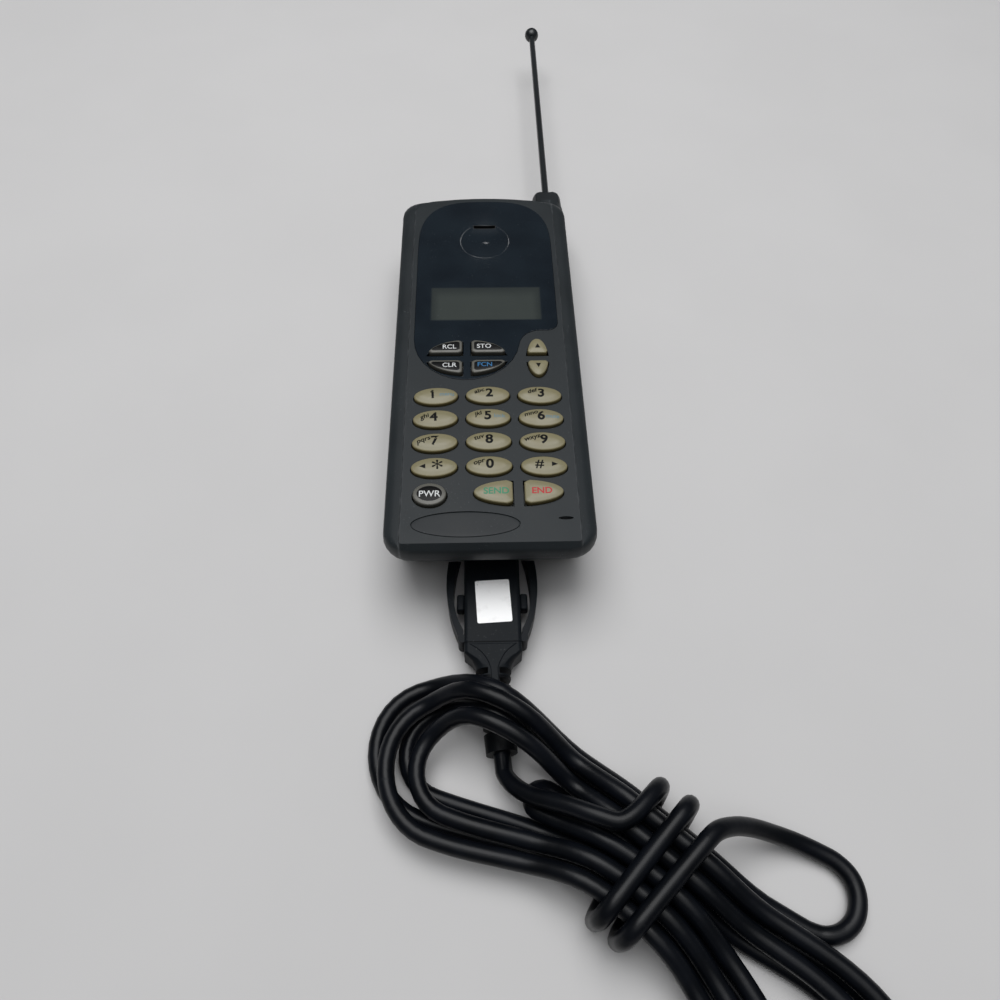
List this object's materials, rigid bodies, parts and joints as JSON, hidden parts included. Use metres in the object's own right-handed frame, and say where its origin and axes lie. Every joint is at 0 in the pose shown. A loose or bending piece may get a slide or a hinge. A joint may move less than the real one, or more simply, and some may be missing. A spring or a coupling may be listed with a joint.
{
  "type": "bar cell phone",
  "caption": "Bar cell phone with a domed keypad face, a retractable whip antenna, a slide-off rear battery and a latching plug on a tied hank of power cord.",
  "frame": {"origin": "under the middle of the body, on the battery's back, which is on the surface the phone lies on", "axes": "+X to the phone's right, +Y towards the antenna end, +Z out of the keypad face"},
  "size_m": [0.12, 0.4042, 0.0325],
  "materials": {
    "shell": "fine satin grain",
    "lens": "polished, dark tint",
    "lcd_glass": "dark grey-green display glass",
    "light_guide": "milky",
    "metal": "pressed sheet",
    "soft_rubber": "matt",
    "board": "solder mask",
    "black_plastic": "satin",
    "contact_gold": "plated",
    "antenna_rubber": "satin",
    "antenna_rod": "black sleeve",
    "cell_can": "shrink-wrapped cans",
    "plug_rubber": "satin moulding",
    "label": "silver-white, blank",
    "cord": "satin jacket",
    "beige_key": "satin moulding",
    "black_key": "satin moulding, grey rim"
  },
  "bodies": {
    "phone": {"front_housing": "shell", "rear_housing": "shell", "display_lens": "lens", "lcd_module": "lcd_glass", "lcd_backlight": "light_guide", "earpiece": "metal", "earpiece_gasket": "soft_rubber", "keypad_mat": "soft_rubber", "key_domes": "metal", "main_board": "board", "rf_shields": "metal", "ringer": "black_plastic", "microphone": "metal", "mic_boot": "soft_rubber", "accessory_socket": "black_plastic", "socket_contacts": "contact_gold", "battery_contacts": "contact_gold", "housing_screws": "metal", "antenna_tube": "contact_gold", "antenna_boot": "antenna_rubber"},
    "antenna": {"antenna_whip": "antenna_rod", "antenna_tip": "black_plastic"},
    "battery": {"battery_case": "shell", "battery_lid": "shell", "battery_cells": "cell_can", "battery_terminals": "contact_gold"},
    "latch": {"battery_latch": "black_plastic"},
    "plug": {"plug_body": "plug_rubber", "plug_nose": "metal", "plug_label": "label", "strain_relief": "plug_rubber", "cord_lead": "cord", "cord_wraps": "cord", "cord_side_loop": "cord", "cord_hank": "cord", "cord_tail": "cord", "end_connector": "black_plastic"},
    "left_arm": {"plug_latch_left": "plug_rubber"},
    "right_arm": {"plug_latch_right": "plug_rubber"},
    "key_1_button": {"key_1": "beige_key"},
    "key_2_button": {"key_2": "beige_key"},
    "key_3_button": {"key_3": "beige_key"},
    "key_4_button": {"key_4": "beige_key"},
    "key_5_button": {"key_5": "beige_key"},
    "key_6_button": {"key_6": "beige_key"},
    "key_7_button": {"key_7": "beige_key"},
    "key_8_button": {"key_8": "beige_key"},
    "key_9_button": {"key_9": "beige_key"},
    "key_star_button": {"key_star": "beige_key"},
    "key_0_button": {"key_0": "beige_key"},
    "key_hash_button": {"key_hash": "beige_key"},
    "key_recall_button": {"key_recall": "black_key"},
    "key_store_button": {"key_store": "black_key"},
    "key_clear_button": {"key_clear": "black_key"},
    "key_function_button": {"key_function": "black_key"},
    "key_volume_up_button": {"key_volume_up": "beige_key"},
    "key_volume_down_button": {"key_volume_down": "beige_key"},
    "key_send_button": {"key_send": "beige_key"},
    "key_end_button": {"key_end": "beige_key"},
    "key_power_button": {"key_power": "black_key"}
  },
  "joints": [
    {"name": "key_1_press", "type": "slide", "parent": "phone", "child": "key_1_button", "axis": [0, 0, -1], "range_m": [0, 0.0006], "stiffness_N_per_m": 400},
    {"name": "key_2_press", "type": "slide", "parent": "phone", "child": "key_2_button", "axis": [0, 0, -1], "range_m": [0, 0.0006], "stiffness_N_per_m": 400},
    {"name": "key_3_press", "type": "slide", "parent": "phone", "child": "key_3_button", "axis": [0, 0, -1], "range_m": [0, 0.0006], "stiffness_N_per_m": 400},
    {"name": "key_4_press", "type": "slide", "parent": "phone", "child": "key_4_button", "axis": [0, 0, -1], "range_m": [0, 0.0006], "stiffness_N_per_m": 400},
    {"name": "key_5_press", "type": "slide", "parent": "phone", "child": "key_5_button", "axis": [0, 0, -1], "range_m": [0, 0.0006], "stiffness_N_per_m": 400},
    {"name": "key_6_press", "type": "slide", "parent": "phone", "child": "key_6_button", "axis": [0, 0, -1], "range_m": [0, 0.0006], "stiffness_N_per_m": 400},
    {"name": "key_7_press", "type": "slide", "parent": "phone", "child": "key_7_button", "axis": [0, 0, -1], "range_m": [0, 0.0006], "stiffness_N_per_m": 400},
    {"name": "key_8_press", "type": "slide", "parent": "phone", "child": "key_8_button", "axis": [0, 0, -1], "range_m": [0, 0.0006], "stiffness_N_per_m": 400},
    {"name": "key_9_press", "type": "slide", "parent": "phone", "child": "key_9_button", "axis": [0, 0, -1], "range_m": [0, 0.0006], "stiffness_N_per_m": 400},
    {"name": "key_star_press", "type": "slide", "parent": "phone", "child": "key_star_button", "axis": [0, 0, -1], "range_m": [0, 0.0006], "stiffness_N_per_m": 400},
    {"name": "key_0_press", "type": "slide", "parent": "phone", "child": "key_0_button", "axis": [0, 0, -1], "range_m": [0, 0.0006], "stiffness_N_per_m": 400},
    {"name": "key_hash_press", "type": "slide", "parent": "phone", "child": "key_hash_button", "axis": [0, 0, -1], "range_m": [0, 0.0006], "stiffness_N_per_m": 400},
    {"name": "key_recall_press", "type": "slide", "parent": "phone", "child": "key_recall_button", "axis": [0, 0, -1], "range_m": [0, 0.0006], "stiffness_N_per_m": 400},
    {"name": "key_store_press", "type": "slide", "parent": "phone", "child": "key_store_button", "axis": [0, 0, -1], "range_m": [0, 0.0006], "stiffness_N_per_m": 400},
    {"name": "key_clear_press", "type": "slide", "parent": "phone", "child": "key_clear_button", "axis": [0, 0, -1], "range_m": [0, 0.0006], "stiffness_N_per_m": 400},
    {"name": "key_function_press", "type": "slide", "parent": "phone", "child": "key_function_button", "axis": [0, 0, -1], "range_m": [0, 0.0006], "stiffness_N_per_m": 400},
    {"name": "key_volume_up_press", "type": "slide", "parent": "phone", "child": "key_volume_up_button", "axis": [0, 0, -1], "range_m": [0, 0.0006], "stiffness_N_per_m": 400},
    {"name": "key_volume_down_press", "type": "slide", "parent": "phone", "child": "key_volume_down_button", "axis": [0, 0, -1], "range_m": [0, 0.0006], "stiffness_N_per_m": 400},
    {"name": "key_send_press", "type": "slide", "parent": "phone", "child": "key_send_button", "axis": [0, 0, -1], "range_m": [0, 0.0006], "stiffness_N_per_m": 400},
    {"name": "key_end_press", "type": "slide", "parent": "phone", "child": "key_end_button", "axis": [0, 0, -1], "range_m": [0, 0.0006], "stiffness_N_per_m": 400},
    {"name": "key_power_press", "type": "slide", "parent": "phone", "child": "key_power_button", "axis": [0, 0, -1], "range_m": [0, 0.0006], "stiffness_N_per_m": 400},
    {"name": "antenna_retract", "type": "slide", "parent": "phone", "child": "antenna", "axis": [0, -1, 0], "range_m": [0, 0.1145]},
    {"name": "battery_slide", "type": "slide", "parent": "phone", "child": "battery", "axis": [0, 1, 0], "range_m": [0, 0.012]},
    {"name": "battery_latch_press", "type": "slide", "parent": "battery", "child": "latch", "axis": [0, 0, 1], "range_m": [0, 0.0012], "stiffness_N_per_m": 400},
    {"name": "plug_pull", "type": "slide", "parent": "phone", "child": "plug", "axis": [0, -1, 0], "range_m": [0, 0.012]},
    {"name": "left_arm_squeeze", "type": "hinge", "parent": "plug", "child": "left_arm", "pos_m": [-0.0079, -0.0898, 0.0065], "axis": [0, 0, -1], "range_deg": [0, 1.2], "stiffness_Nm_per_rad": 0.3},
    {"name": "right_arm_squeeze", "type": "hinge", "parent": "plug", "child": "right_arm", "pos_m": [0.0085, -0.0898, 0.0065], "axis": [0, 0, 1], "range_deg": [0, 1.2], "stiffness_Nm_per_rad": 0.3}
  ]
}
